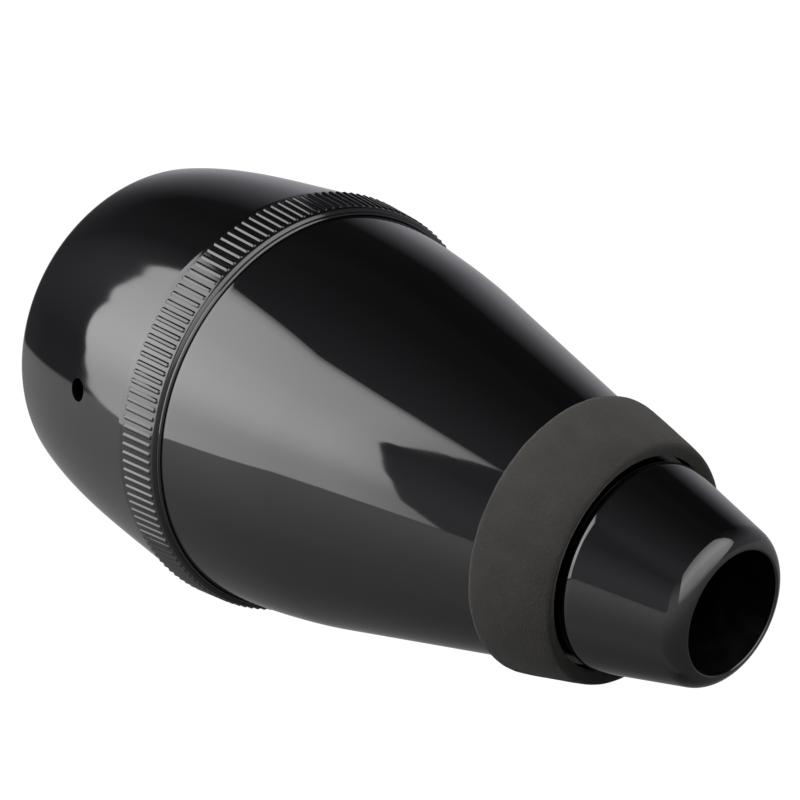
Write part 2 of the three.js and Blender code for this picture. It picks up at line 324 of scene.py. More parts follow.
def bump(tree, shader, height, depth_mm, before=None):
    """Raises the surface by a pattern, to a depth in millimetres."""
    node = tree.nodes.new("ShaderNodeBump")
    node.inputs["Strength"].default_value = 1.0
    node.inputs["Distance"].default_value = depth_mm * MM
    tree.links.new(height, node.inputs["Height"])
    if before:
        tree.links.new(before, node.inputs["Normal"])
    tree.links.new(node.outputs["Normal"], shader.inputs["Normal"])
    return node.outputs["Normal"]


# %% [markdown]
# ## Polished black ABS
#
# The shells are injection moulded in a polished tool, and nothing is painted. What makes
# them read as plastic is the mirror-like skin over a black that is almost nothing by
# itself. A tool is never perfect, so the roughness drifts a little from place to place,
# and a very shallow, wide ripple bends the edges of reflections, as sink marks do.

# %% Gloss shell finish
gloss, tree, shader, place = new_finish("gloss_black_abs", (0.0026, 0.0026, 0.0029), 0.05)
tree.links.new(spread(tree, noise(tree, place, 0.06), 0.028, 0.060), shader.inputs["Roughness"])
bump(tree, shader, noise(tree, place, 0.035, detail=1.0), 0.03)
print("made", gloss.name)

# %% [markdown]
# ## Satin black inside
#
# Inside a shell the core of the mould is left as machined, because nobody sees it. It is
# the same plastic with a finer, duller skin, so a second finish is laid on those faces.

# %% Satin moulded finish
satin, tree, shader, place = new_finish("satin_black_abs", (0.0030, 0.0030, 0.0032), 0.34)
tree.links.new(spread(tree, noise(tree, place, 0.4), 0.28, 0.42), shader.inputs["Roughness"])
bump(tree, shader, noise(tree, place, 9.0, detail=2.0), 0.006)
shader.inputs["Specular IOR Level"].default_value = 0.15
print("made", satin.name)

# %% [markdown]
# ## The end cap
#
# The cap is a cup with barrel-shaped sides and a flat end to stand on. Its outer side is
# one curve with two handles, which is how the tool's designer would draw it. The wall is
# the same curve moved inwards. The mouth has a groove for the seal, and below that the
# thread wall. A cylinder could be bulged to this shape, but a section keeps the tight
# corner at the end and the fine edge at the rim.

# %% Draw and spin the cap
CAP_LENGTH = 38.3
CAP_END = 26.05
CAP_CORNER = 3.9
CAP_RIM = 34.05
WALL = 2.2
RIM_EDGE = 0.15
GLAND = 32.45
GLAND_FLOOR = 36.3
THREAD_WALL = 31.45
THREAD_FLOOR = 29.1
THREAD_CREST_RADIUS = 30.35
SIDE_LEAN_DEGREES = 14.4
SIDE_LEAN = math.radians(SIDE_LEAN_DEGREES)
RIM_LEAN = math.radians(4.9)
FOOT_PULL_SHARE = 0.28
TOP_PULL_SHARE = 0.40

side_foot = (CAP_END + CAP_CORNER * math.cos(SIDE_LEAN), CAP_CORNER - CAP_CORNER * math.sin(SIDE_LEAN))
side_top = (CAP_RIM, CAP_LENGTH - RIM_EDGE)
foot_pull, top_pull = FOOT_PULL_SHARE * CAP_LENGTH, TOP_PULL_SHARE * CAP_LENGTH
side_controls = [
    side_foot,
    (side_foot[0] + foot_pull * math.sin(SIDE_LEAN), side_foot[1] + foot_pull * math.cos(SIDE_LEAN)),
    (side_top[0] - top_pull * math.sin(RIM_LEAN), side_top[1] - top_pull * math.cos(RIM_LEAN)),
    side_top,
]
cap_side = bezier(side_controls, 36)
cap_inner = [p for p in offset(cap_side, WALL) if p[1] < THREAD_FLOOR - 0.9]
ledge_radius = cap_inner[-1][0]

cap_outline = [(0, 0), (13, 0)]
cap_outline += arc(CAP_END, CAP_CORNER, CAP_CORNER, -90, -SIDE_LEAN_DEGREES, 14)
cap_outline += cap_side[1:]
cap_outline += arc(CAP_RIM - RIM_EDGE, CAP_LENGTH - RIM_EDGE, RIM_EDGE, 0, 90, 4)[1:]
cap_outline += [(GLAND + 0.2, CAP_LENGTH), (GLAND, CAP_LENGTH - 0.2)]
cap_outline += [(GLAND, GLAND_FLOOR), (THREAD_WALL + 0.15, GLAND_FLOOR)]
cap_outline += [(THREAD_WALL, GLAND_FLOOR - 0.15), (THREAD_WALL, THREAD_FLOOR)]
cap_outline += [(ledge_radius, THREAD_FLOOR - 0.8)]
cap_outline += cap_inner[::-1]
cap_outline += arc(CAP_END, CAP_CORNER, CAP_CORNER - WALL, -SIDE_LEAN_DEGREES, -90, 8)[1:]
cap_outline += [(0, WALL)]
cap = spin(draw("cap_moulding", cap_outline))
report(cap)

# %% [markdown]
# The vent is a small clean hole in the side. It could be cut by hand into the grid of
# faces, but a boolean with a cylinder gives a true round edge on a curved wall. The
# cylinder is the tool's pin, and it goes once the hole is there.

# %% Drill the vent and add the thread
VENT_HEIGHT = 23.85
VENT_SIZE = 3.7

clear()
bpy.ops.mesh.primitive_cylinder_add(
    vertices=64, radius=VENT_SIZE / 2 * MM, depth=12 * MM,
    location=(0, -31 * MM, VENT_HEIGHT * MM), rotation=(math.pi / 2, 0, 0))
pin = start("vent_pin")
bpy.ops.object.transform_apply(location=True, rotation=True, scale=True)
only(cap)
drill = cap.modifiers.new("vent", "BOOLEAN")
drill.operation = "DIFFERENCE"
drill.solver = "EXACT"
drill.object = pin
bpy.ops.object.modifier_apply(modifier="vent")
bpy.data.objects.remove(pin)

MALE_HEIGHT = 31.25
female_low = THREAD_FLOOR + THREAD_FOOT / 2
female_turns = (GLAND_FLOOR - THREAD_FOOT / 2 - female_low) / LEAD
female_turned = (female_low - MALE_HEIGHT - LEAD / 2) / LEAD * FULL_TURN
cap_thread = thread(
    "cap_thread", THREAD_WALL, THREAD_CREST_RADIUS, female_low, female_turned, female_turns)
cap = join(cap, [cap_thread])
report(cap)

# %% [markdown]
# The finishes are laid by place. All faces start glossy. What looks into the chamber is
# satin, and so is the standing face, which rubs on tables.

# %% Finish the cap
def whereabouts(face):
    """The radius and height of a face in millimetres, and how far it looks away from the axis."""
    outward = face.normal.x * face.center.x + face.normal.y * face.center.y
    return math.hypot(face.center.x, face.center.y) / MM, face.center.z / MM, outward


def lay(piece, finishes, chooser):
    """Gives a piece its finishes and chooses one of them for each face."""
    piece.data.materials.clear()
    for finish in finishes:
        piece.data.materials.append(finish)
    for face in piece.data.polygons:
        face.material_index = chooser(face)


def cap_finish(face):
    """Satin in the chamber, in the mouth and under the cap, gloss on what shows."""
    radius, height, outward = whereabouts(face)
    inside = height > 1.0 and radius < GLAND + 0.45 and (outward <= 0 or height > THREAD_FLOOR - 1.1)
    return 1 if inside or face.normal.z < -0.999 else 0


lay(cap, [gloss, satin], cap_finish)
smooth(cap)
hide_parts("end_cap")
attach(cap, "cap")

# %% [markdown]
# ## The cone shell
#
# The front shell starts with the threaded spigot and a thin flange that stops it on the
# cap. In front of the ring it swells like a shoulder and then runs straight to the neck.
# The shoulder is a curve with a single handle, which meets the cone without a crease: a
# crease would break the long reflections.

# %% Draw and spin the cone shell
FLANGE_HEIGHT = 38.7
FLANGE_RADIUS = 33.1
FLANGE_WIDTH = 1.5
ROOT_RADIUS = 32.4
ROOT_HEIGHT = 46.1
SHOULDER_RADIUS = 28.4
SHOULDER_HEIGHT = 66.5
SHOULDER_HANDLE_SHARE = 0.388
NECK_RADIUS = 16.24
NECK_HEIGHT = 109.65
NECK_BORE = 12.7
COLLAR_HEIGHT = 104.9
SPIGOT_RADIUS = 30.05
SPIGOT_BORE = 27.85
SPIGOT_END = 29.9

cone_fall = (SHOULDER_RADIUS - NECK_RADIUS) / (NECK_HEIGHT - SHOULDER_HEIGHT)
cone_lean = math.atan(cone_fall)
handle = SHOULDER_HANDLE_SHARE * (SHOULDER_HEIGHT - ROOT_HEIGHT)
shoulder = bezier([
    (ROOT_RADIUS, ROOT_HEIGHT),
    (SHOULDER_RADIUS + cone_fall * handle, SHOULDER_HEIGHT - handle),
    (SHOULDER_RADIUS, SHOULDER_HEIGHT),
], 30)
radial_wall = WALL / math.cos(cone_lean)


def cone_radius(height):
    """The outside radius of the straight cone at one height."""
    return SHOULDER_RADIUS - cone_fall * (height - SHOULDER_HEIGHT)


inner_shoulder = [(r - radial_wall, z) for r, z in shoulder[::-1] if r - radial_wall < SPIGOT_BORE]
meeting = inner_shoulder[-1][1] - (SPIGOT_BORE - inner_shoulder[-1][0]) / cone_fall
straight = [(cone_radius(z), z) for z in (75, 84, 93, 102)]

cone_outline = [
    (SPIGOT_BORE, SPIGOT_END),
    (SPIGOT_RADIUS - 0.4, SPIGOT_END),
    (SPIGOT_RADIUS, SPIGOT_END + 0.4),
    (SPIGOT_RADIUS, FLANGE_HEIGHT),
    (FLANGE_RADIUS, FLANGE_HEIGHT),
    (FLANGE_RADIUS, FLANGE_HEIGHT + FLANGE_WIDTH),
    (ROOT_RADIUS, FLANGE_HEIGHT + FLANGE_WIDTH),
]
cone_outline += shoulder + straight
cone_outline += [(NECK_RADIUS, NECK_HEIGHT), (NECK_BORE, NECK_HEIGHT), (NECK_BORE, COLLAR_HEIGHT)]
cone_outline += [(cone_radius(COLLAR_HEIGHT) - radial_wall, COLLAR_HEIGHT)]
cone_outline += inner_shoulder + [(SPIGOT_BORE, meeting)]
cone = spin(draw("cone_moulding", cone_outline))
male_turns = (GLAND_FLOOR - THREAD_FOOT - MALE_HEIGHT) / LEAD
cone_thread = thread(
    "cone_thread", SPIGOT_RADIUS, THREAD_WALL - FIT_GAP, MALE_HEIGHT, 0.0, male_turns)
cone = join(cone, [cone_thread])
report(cone)

# %% [markdown]
# The spigot and the flange are hidden by the ring and the cap, so they are satin like the
# inside. Only the cone itself and the end of the neck are polished.

# %% Finish the cone shell
def cone_finish(face):
    """Satin behind the ring and inside, gloss on what shows."""
    radius, height, outward = whereabouts(face)
    behind_ring = height < ROOT_HEIGHT - 0.3
    return 1 if behind_ring or (outward < 0 and height < NECK_HEIGHT - 0.1) else 0


lay(cone, [gloss, satin], cone_finish)
smooth(cone)
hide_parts("cone_shell")
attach(cone, "front")

# %% [markdown]
# ## The ribbed ring
#
# The ring is where the hand grips to unscrew the mute. Its side tapers a little to the
# front, turns over softly, and ends in two narrow slopes with a step between them, which
# is why it shows two pale lines in the portrait.

# %% Spin the plain ring
RING_REAR_RADIUS = 34.3
RING_REAR = 38.45
RING_SIDE_RADIUS = 33.56
RING_SIDE_END = 45.0
RING_BORE = 32.47
RING_LAP = 33.75
RING_EDGE = 0.08
COUNTERBORE = 33.4
STEP_HEIGHT = 40.5
SOFT_TURN = [(33.53, 45.12), (33.47, 45.24), (33.38, 45.34), (33.26, 45.42)]
FINE_STEP = [
    (32.98, 45.58), (32.94, 45.56), (32.90, 45.57), (32.88, 45.62), (32.84, 45.80), (32.81, 45.84)]
INNER_EDGE = [(32.60, 45.96), (32.54, 45.98), (32.47, 45.92)]

ring_lean = math.degrees(math.atan((RING_REAR_RADIUS - RING_SIDE_RADIUS) / (RING_SIDE_END - RING_REAR)))
ring_outline = arc(RING_REAR_RADIUS - RING_EDGE, RING_REAR + RING_EDGE, RING_EDGE, -90, ring_lean, 3)
ring_outline += [(RING_SIDE_RADIUS, RING_SIDE_END)] + SOFT_TURN + FINE_STEP + INNER_EDGE
ring_outline += [(RING_BORE, STEP_HEIGHT), (COUNTERBORE, STEP_HEIGHT), (COUNTERBORE, FLANGE_HEIGHT)]
ring_outline += [(RING_LAP, FLANGE_HEIGHT), (RING_LAP, RING_REAR)]
ring = spin(draw("grip_ring_moulding", ring_outline), steps=320)
report(ring)

# %% [markdown]
# The ring carries 150 low ribs with sloped flanks and round ends, and a plain margin in
# front of them. One rib is made from a short cone: half of it is slid along the ring,
# which leaves a long button, and its top edge is bevelled. Spin with its duplicate option
# then sets the copies round the ring, so all of them are equally spaced. With a few dozen
# faces to a rib the ring stays light.

# %% Model one rib and copy it round
RIBS = 150
RIB_FOOT = 0.42
RIB_TOP = 0.19
RIB_HEIGHT = 0.23
RIB_SINK = 0.20
RIB_BEVEL = 0.07
RIB_LOW = RING_REAR + 0.06
RIB_HIGH = RING_SIDE_END

rib_length = RIB_HIGH - RIB_LOW
rib_middle = (RIB_LOW + RIB_HIGH) / 2
middle_radius = RING_REAR_RADIUS - math.tan(math.radians(ring_lean)) * (rib_middle - RING_REAR)
slope = (RIB_FOOT - RIB_TOP) / RIB_HEIGHT
rib_depth = RIB_HEIGHT + RIB_SINK
half_start = (RIB_LOW + RIB_FOOT) * MM

clear()
bpy.ops.mesh.primitive_cone_add(
    vertices=14, radius1=(RIB_FOOT + slope * RIB_SINK) * MM, radius2=RIB_TOP * MM, depth=rib_depth * MM,
    location=((middle_radius + RIB_HEIGHT - rib_depth / 2) * MM, 0, half_start),
    rotation=(math.pi / 2, 0, math.pi / 2))
ribs = start("ribs")
bpy.ops.object.transform_apply(location=True, rotation=True, scale=True)
bpy.ops.object.mode_set(mode="EDIT")
bpy.ops.mesh.select_mode(type="VERT")
bpy.ops.mesh.select_all(action="DESELECT")
bpy.ops.object.mode_set(mode="OBJECT")
for vertex in ribs.data.vertices:
    vertex.select = vertex.co.z > half_start
bpy.ops.object.mode_set(mode="EDIT")
bpy.ops.transform.translate(value=(0, 0, (rib_length - 2 * RIB_FOOT) * MM))
bpy.ops.mesh.select_mode(type="FACE")
bpy.ops.mesh.select_all(action="DESELECT")
bpy.ops.object.mode_set(mode="OBJECT")
for face in ribs.data.polygons:
    face.select = face.normal.x > 0.99
bpy.ops.object.mode_set(mode="EDIT")
bpy.ops.mesh.bevel(offset=RIB_BEVEL * MM, segments=2)
bpy.ops.mesh.select_all(action="SELECT")
bpy.ops.transform.rotate(
    value=math.radians(ring_lean), orient_axis="Y",
    center_override=(middle_radius * MM, 0, rib_middle * MM))
bpy.ops.mesh.normals_make_consistent(inside=False)
bpy.ops.object.mode_set(mode="OBJECT")
faces_in_a_rib = len(ribs.data.polygons)
front_top = max(v.co.x for v in ribs.data.vertices if v.co.z > rib_middle * MM) / MM
rear_top = max(v.co.x for v in ribs.data.vertices if v.co.z < rib_middle * MM) / MM
print(f"a rib: {faces_in_a_rib} faces, top at {rear_top:.2f} mm behind and {front_top:.2f} mm in front")
bpy.ops.object.mode_set(mode="EDIT")
bpy.ops.mesh.select_all(action="SELECT")
bpy.ops.mesh.spin(
    steps=RIBS, angle=FULL_TURN, dupli=True, center=(0, 0, 0), axis=(0, 0, 1))
bpy.ops.mesh.select_all(action="SELECT")
bpy.ops.mesh.remove_doubles(threshold=0.002 * MM)
bpy.ops.mesh.select_all(action="SELECT")
bpy.ops.mesh.normals_make_consistent(inside=False)
bpy.ops.object.mode_set(mode="OBJECT")
report(ribs)
ring = join(ring, [ribs])
report(ring)

# %% [markdown]
# The ring's skin is the same plastic, but the rib cutter leaves it a little less bright
# than the polished shells, so its finish is a shade rougher.

# %% Finish the ring
ring_finish, tree, shader, place = new_finish("ring_black_abs", (0.0030, 0.0030, 0.0033), 0.10)
tree.links.new(spread(tree, noise(tree, place, 0.5), 0.07, 0.12), shader.inputs["Roughness"])
bump(tree, shader, noise(tree, place, 6.0, detail=2.0), 0.002)
lay(ring, [ring_finish], lambda face: 0)
smooth(ring, 24)
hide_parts("grip_ring")
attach(ring, "front")

# %% [markdown]
# ## The nose
#
# The nose is a separate nozzle pressed into the neck. Its foot has a small rounded edge,
# which catches the thin bright line in front of the foam, and its lip rolls into the bore.

# %% Draw and spin the nose
NOSE_FOOT = 109.95
NOSE_END = 128.35
NOSE_FOOT_RADIUS = 15.19
NOSE_END_RADIUS = 11.6
BORE = 8.7
SOCKET = 10.3
NOSE_SPIGOT = 12.4
NOSE_SPIGOT_END = 105.5
SOCKET_TOP = 112.9
LIP = 3.6
BORE_EDGE = 0.3
FOOT_ROUND = 2.5

lip_middle = NOSE_END_RADIUS - LIP
lip_end = math.degrees(math.acos((BORE + BORE_EDGE - lip_middle) / LIP))
lip_height = NOSE_END - LIP * math.sin(math.radians(lip_end))
foot_middle, foot_height = NOSE_FOOT_RADIUS - FOOT_ROUND, NOSE_FOOT + FOOT_ROUND
inwards, forwards = foot_middle - lip_middle, lip_height - foot_height
nose_lean = math.degrees(
    math.atan2(inwards, forwards) + math.asin((FOOT_ROUND - LIP) / math.hypot(inwards, forwards)))
print(f"the nose leans {nose_lean:.2f} degrees")
nose_outline = [(SOCKET, NOSE_SPIGOT_END), (NOSE_SPIGOT, NOSE_SPIGOT_END), (NOSE_SPIGOT, NOSE_FOOT)]
foot_arc = arc(foot_middle, foot_height, FOOT_ROUND, -90, nose_lean, 20)
lip_arc = arc(lip_middle, lip_height, LIP, nose_lean, lip_end, 32)
nose_outline += foot_arc
for share in (0.03, 0.3, 0.7, 0.97):
    nose_outline.append(tuple(Vector(foot_arc[-1]).lerp(Vector(lip_arc[0]), share)))
nose_outline += lip_arc
nose_outline += arc(BORE + BORE_EDGE, NOSE_END - BORE_EDGE, BORE_EDGE, 90, 180, 4)[1:]
nose_outline += [(BORE, SOCKET_TOP), (SOCKET, SOCKET_TOP)]
nose = spin(draw("nose_moulding", nose_outline), steps=192)
report(nose)


def nose_finish(face):
    """Satin on what is pressed into the neck and in the bore."""
    radius, height, outward = whereabouts(face)
    return 1 if height < NOSE_FOOT - 0.1 or (outward < 0 and height < NOSE_END - 0.35) else 0


lay(nose, [gloss, satin], nose_finish)
smooth(nose)
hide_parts("nose_tip")
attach(nose, "front")

# %% [markdown]
# ## The throat tube
#
# The bore runs on through a plain tube to the middle of the chamber. It shows only down
# the bore and when the mute is open, but its rounded rear mouth matters to the air.

# %% Draw and spin the tube
TUBE_RADIUS = 10.0
TUBE_FRONT = 112.6
TUBE_REAR = 52.0
TUBE_MOUTH = 0.35

tube_outline = arc(BORE + TUBE_MOUTH, TUBE_REAR + TUBE_MOUTH, TUBE_MOUTH, 180, 270, 4)
tube_outline += arc(TUBE_RADIUS - TUBE_MOUTH, TUBE_REAR + TUBE_MOUTH, TUBE_MOUTH, -90, 0, 4)
tube_outline += [(TUBE_RADIUS, TUBE_FRONT - 0.3), (TUBE_RADIUS - 0.3, TUBE_FRONT), (BORE, TUBE_FRONT)]
tube = spin(draw("throat_tube_moulding", tube_outline), steps=128)
report(tube)
lay(tube, [satin], lambda face: 0)
smooth(tube)
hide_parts("throat_tube")
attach(tube, "front")

# %% [markdown]
# ## The foam on the neck
#
# This is a strip of closed-cell foam, wrapped round the cone and butted at the back. It
# could be a plain collar, but foam is cut with soft edges, bulges a little between them,
# and never lies quite true. So the section is drawn with rounded corners and a slight
# crown, and its front edge stands a little over the end of the neck, up to the nose. It
# is spun just short of a full turn, and the two cut ends are closed.

# %% Draw and wrap the foam strip
FOAM_THICK = 1.75
FOAM_GAP = 0.3
FOAM_WIDTH = 11.8
FOAM_FRONT = NECK_HEIGHT + 1.25
FOAM_CORNER = 0.7
FOAM_OVERHANG = 0.6
FOAM_CROWN = 0.10
FOAM_SEAM = math.radians(0.9)

foam_rear = FOAM_FRONT - FOAM_WIDTH * math.cos(cone_lean)
rear_radius = cone_radius(foam_rear) + FOAM_GAP / math.cos(cone_lean)
along = Vector((-math.sin(cone_lean), math.cos(cone_lean)))
across = Vector((math.cos(cone_lean), math.sin(cone_lean)))
rear_corner = Vector((rear_radius, foam_rear))


def on_strip(distance, lift):
    """A point of the foam's section, along the cone and up from it."""
    return tuple(rear_corner + along * distance + across * lift)


depth = FOAM_THICK - FOAM_GAP
foam_outline = [on_strip(0.05, 0), on_strip(0, 0.15)]
corner_lift = depth - FOAM_CORNER
foam_outline += [on_strip(*point) for point in arc(FOAM_CORNER, corner_lift, FOAM_CORNER, 180, 90, 6)]
for share in (0.12, 0.25, 0.38, 0.5, 0.62, 0.75, 0.88):
    foam_outline.append(on_strip(FOAM_WIDTH * share, depth + FOAM_CROWN * math.sin(math.pi * share)))
foam_outline += [
    on_strip(*point) for point in arc(FOAM_WIDTH - FOAM_CORNER, corner_lift, FOAM_CORNER, 90, 0, 6)]
foam_outline += [on_strip(FOAM_WIDTH, 0.1 - FOAM_OVERHANG), on_strip(FOAM_WIDTH - 0.1, -FOAM_OVERHANG)]
foam_outline += [on_strip(FOAM_WIDTH - 0.25, -FOAM_OVERHANG), on_strip(FOAM_WIDTH - 0.35, 0)]
foam_outline += [on_strip(FOAM_WIDTH * share, 0) for share in (0.75, 0.5, 0.25)]

foam = draw("bell_foam", foam_outline)
bpy.ops.mesh.select_all(action="SELECT")
bpy.ops.mesh.spin(steps=TURN_STEPS, angle=FULL_TURN - FOAM_SEAM, center=(0, 0, 0), axis=(0, 0, 1))
bpy.ops.mesh.select_all(action="SELECT")
bpy.ops.mesh.remove_doubles(threshold=SAME_PLACE)
bpy.ops.mesh.fill_holes(sides=len(foam_outline))
bpy.ops.mesh.normals_make_consistent(inside=False)
bpy.ops.object.mode_set(mode="OBJECT")
foam.rotation_euler.z = math.radians(90)
only(foam)
bpy.ops.object.transform_apply(location=True, rotation=True, scale=True)
report(foam)

# %% [markdown]
# The strip isn't wound quite evenly. On the side where the portrait looks at it, its front
# edge comes a little further forward and is pulled thinner. The further back a point
# lies, the less it moves.

# %% Bring the front edge forward and thin it on one side
FOAM_SKEW = 0.45
FOAM_THINNING = 0.85
SKEW_AZIMUTH = math.radians(-113)

skew_side = Vector((math.cos(SKEW_AZIMUTH), math.sin(SKEW_AZIMUTH)))
for vertex in foam.data.vertices:
    flat = Vector((vertex.co.x, vertex.co.y))
    share = min(max((vertex.co.z / MM - foam_rear) / (FOAM_WIDTH * math.cos(cone_lean)), 0), 1)
    towards_side = max(flat.normalized().dot(skew_side), 0)
    forward = FOAM_SKEW * share ** 2 * towards_side
    lift = (flat.length / MM - cone_radius(vertex.co.z / MM)) / FOAM_THICK
    thinner = FOAM_THINNING * share ** 3 * towards_side * min(max(lift, 0), 1)
    flat -= flat.normalized() * (forward * math.sin(cone_lean) + thinner) * MM
    vertex.co = Vector((flat.x, flat.y, vertex.co.z + forward * math.cos(cone_lean) * MM))
report(foam)

# %% [markdown]
# No foam is flat. A cloud texture moves its skin by a few hundredths of a millimetre,
# which is enough to soften the light on it.

# %% Let the foam lie a little unevenly
LUMP_SIZE = 4.0
LUMP_DEPTH = 0.16

uneven = bpy.data.textures.new("foam_unevenness", "CLOUDS")
uneven.noise_scale = LUMP_SIZE * MM
uneven.noise_depth = 2
soften = foam.modifiers.new("unevenness", "DISPLACE")
soften.texture = uneven
soften.texture_coords = "LOCAL"
soften.direction = "NORMAL"
soften.mid_level = 0.5
soften.strength = LUMP_DEPTH * MM
bpy.ops.object.modifier_apply(modifier="unevenness")
report(foam)

# %% [markdown]
# Closed-cell foam looks like slate from far off. Close by it is a skin of tiny cut
# bubbles. Two patterns make it: a broad, faint mottle in the colour, and a fine net of
# cells in the bump. It has no shine, only a soft pale edge where light grazes it.

# %% Finish the foam
FOAM_DARK = (0.050, 0.047, 0.042)
FOAM_LIGHT = (0.066, 0.062, 0.056)

foam_finish, tree, shader, place = new_finish("charcoal_cell_foam", (0.056, 0.052, 0.047), 0.95)
mottle = mix(tree, spread(tree, noise(tree, place, 0.22, detail=4.0), 0, 1), FOAM_DARK, FOAM_LIGHT)
specks = spread(tree, noise(tree, place, 3.2, detail=2.0), 0.55, 1.1)
tree.links.new(mix(tree, 0.35, mottle, specks, "MULTIPLY"), shader.inputs["Base Color"])
cells = tree.nodes.new("ShaderNodeTexVoronoi")
cells.inputs["Scale"].default_value = 3.0 / MM
tree.links.new(place, cells.inputs["Vector"])
grain = bump(tree, shader, cells.outputs["Distance"], 0.05)
bump(tree, shader, noise(tree, place, 1.1, detail=4.0), 0.05, before=grain)
shader.inputs["Sheen Weight"].default_value = 0.12
shader.inputs["Sheen Roughness"].default_value = 0.5
shader.inputs["Specular IOR Level"].default_value = 0.2
lay(foam, [foam_finish], lambda face: 0)
smooth(foam, 40)
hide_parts("foam_ring")
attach(foam, "front")

# %% [markdown]
# ## Foam inside the chamber
#
# A thick disc on the cap's floor and a sleeve in the cone soak up the sound. They show
# when the shells are apart. Both are spun from a section like the shells.

# %% Draw the floor disc and the sleeve
PAD_THICK = 12.0
PAD_FLOOR = WALL + FIT_GAP
PAD_TOP = PAD_FLOOR + PAD_THICK


def inner_radius(height):
    """The inside radius of the cap's wall at one height."""
    line = offset(cap_side, WALL)
    for (r0, z0), (r1, z1) in zip(line, line[1:]):
        if z0 <= height <= z1:
            return r0 + (r1 - r0) * (height - z0) / (z1 - z0)
    return line[0][0]


pad_outline = [(0, PAD_FLOOR)] + [(r, PAD_FLOOR) for r in (6, 12, 18, 24)] + [(CAP_END, PAD_FLOOR)]
for share in (0.35, 0.6, 0.85):
    height = PAD_FLOOR + (PAD_TOP - PAD_FLOOR) * share
    pad_outline.append((inner_radius(height) - 0.4, height))
pad_outline += [(inner_radius(PAD_TOP) - 0.7, PAD_TOP - 0.3), (inner_radius(PAD_TOP) - 1.2, PAD_TOP - 0.1)]
pad_outline += [(r, PAD_TOP - 0.05) for r in (26, 22, 18, 14, 10, 6, 3)] + [(0, PAD_TOP - 0.05)]
pad = spin(draw("floor_foam", pad_outline), steps=96)

LINER_REAR = SHOULDER_HEIGHT + 0.6
liner_start = Vector((cone_radius(LINER_REAR) - (WALL + FIT_GAP) / math.cos(cone_lean), LINER_REAR))
liner_outline = []
for distance, sunk in (
        [(0.3, 0), (5, 0), (10, 0), (15, 0), (20.7, 0), (21, 0.3), (21, 2.5), (21, 4.6), (20.6, 5)]
        + [(15, 5), (10, 5), (5, 5), (0.4, 5), (0, 4.6), (0, 2.5), (0, 0.3)]):
    liner_outline.append(tuple(liner_start + along * distance - across * sunk))
liner = spin(draw("sleeve_foam", liner_outline), steps=96)
report(pad)
report(liner)

# %% [markdown]
# This foam is open, with cells as large as sugar grains, so its skin is moved by real
# cloud noise as well as by its finish. The faces are divided first, to give it room.

# %% Roughen and finish the open foam
GRAIN_SIZE = 2.2
GRAIN_DEPTH = 0.35

open_foam, tree, shader, place = new_finish("open_cell_foam", (0.032, 0.032, 0.035), 1.0)
clouds = spread(tree, noise(tree, place, 1.4, detail=3.0), 0, 1)
clouded = mix(tree, clouds, (0.018, 0.018, 0.020), (0.046, 0.046, 0.050))
tree.links.new(clouded, shader.inputs["Base Color"])
holes = tree.nodes.new("ShaderNodeTexVoronoi")
holes.inputs["Scale"].default_value = 1.1 / MM
tree.links.new(place, holes.inputs["Vector"])
bump(tree, shader, holes.outputs["Distance"], 0.35)
shader.inputs["Sheen Weight"].default_value = 0.25
shader.inputs["Specular IOR Level"].default_value = 0.1

grains = bpy.data.textures.new("foam_grains", "CLOUDS")
grains.noise_scale = GRAIN_SIZE * MM
for piece, node, body in ((pad, "damping_pad", "cap"), (liner, "chamber_liner", "front")):
    only(piece)
    rough = piece.modifiers.new("finer", "SUBSURF")
    rough.subdivision_type = "SIMPLE"
    rough.levels = rough.render_levels = 1
    bpy.ops.object.modifier_apply(modifier="finer")
    soften = piece.modifiers.new("grains", "DISPLACE")
    soften.texture = grains
    soften.texture_coords = "LOCAL"
    soften.mid_level = 0.75
    soften.strength = GRAIN_DEPTH * MM
    bpy.ops.object.modifier_apply(modifier="grains")
    lay(piece, [open_foam], lambda face: 0)
    smooth(piece, 60)
    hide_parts(node)
    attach(piece, body)
    report(piece)

# %% [markdown]
# ## The seal
#
# A rubber ring in the mouth of the cap keeps the chamber airtight. It starts as a small
# circle that is spun round the axis. A rubber ring is moulded in two halves, so it keeps a
# fine flash line where they met, at its top and its bottom.

# %% Spin and finish the seal
SEAL_RADIUS = 31.25
SEAL_SECTION = 1.0
SEAL_HEIGHT = 37.5
SEAL_SIDES = 24
FLASH_SHARE = 1.05
SQUEEZED_ACROSS = 0.99
SQUEEZED_ALONG = 0.95

seal_outline = []
for i in range(SEAL_SIDES):
    angle = FULL_TURN * i / SEAL_SIDES
    size = SEAL_SECTION * (FLASH_SHARE if i in (SEAL_SIDES // 4, 3 * SEAL_SIDES // 4) else 1.0)
    seal_outline.append((
        SEAL_RADIUS + size * math.cos(angle) * SQUEEZED_ACROSS,
        SEAL_HEIGHT + size * math.sin(angle) * SQUEEZED_ALONG))
seal = spin(draw("joint_seal", seal_outline), steps=160)
report(seal)

rubber, tree, shader, place = new_finish("seal_black_rubber", (0.012, 0.012, 0.012), 0.55)
tree.links.new(spread(tree, noise(tree, place, 1.5), 0.45, 0.65), shader.inputs["Roughness"])
bump(tree, shader, noise(tree, place, 5.0), 0.01)
lay(seal, [rubber], lambda face: 0)
smooth(seal, 50)
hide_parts("seal_ring")
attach(seal, "seal")

# %% [markdown]
# ## The studio
#
# Black gloss has almost no colour of its own, so it is lit by what it mirrors. In the
# portrait the mute lies beside a large soft box, over a white table, in a dark room. The
# broad pale patch is the soft box, its straight lower edge is the far edge of the table,
# and the dark band above it is the room. So the room has its own directions: one is up
# from the table, and one points along the table to the front. The soft boxes and the
# table are set out from those.

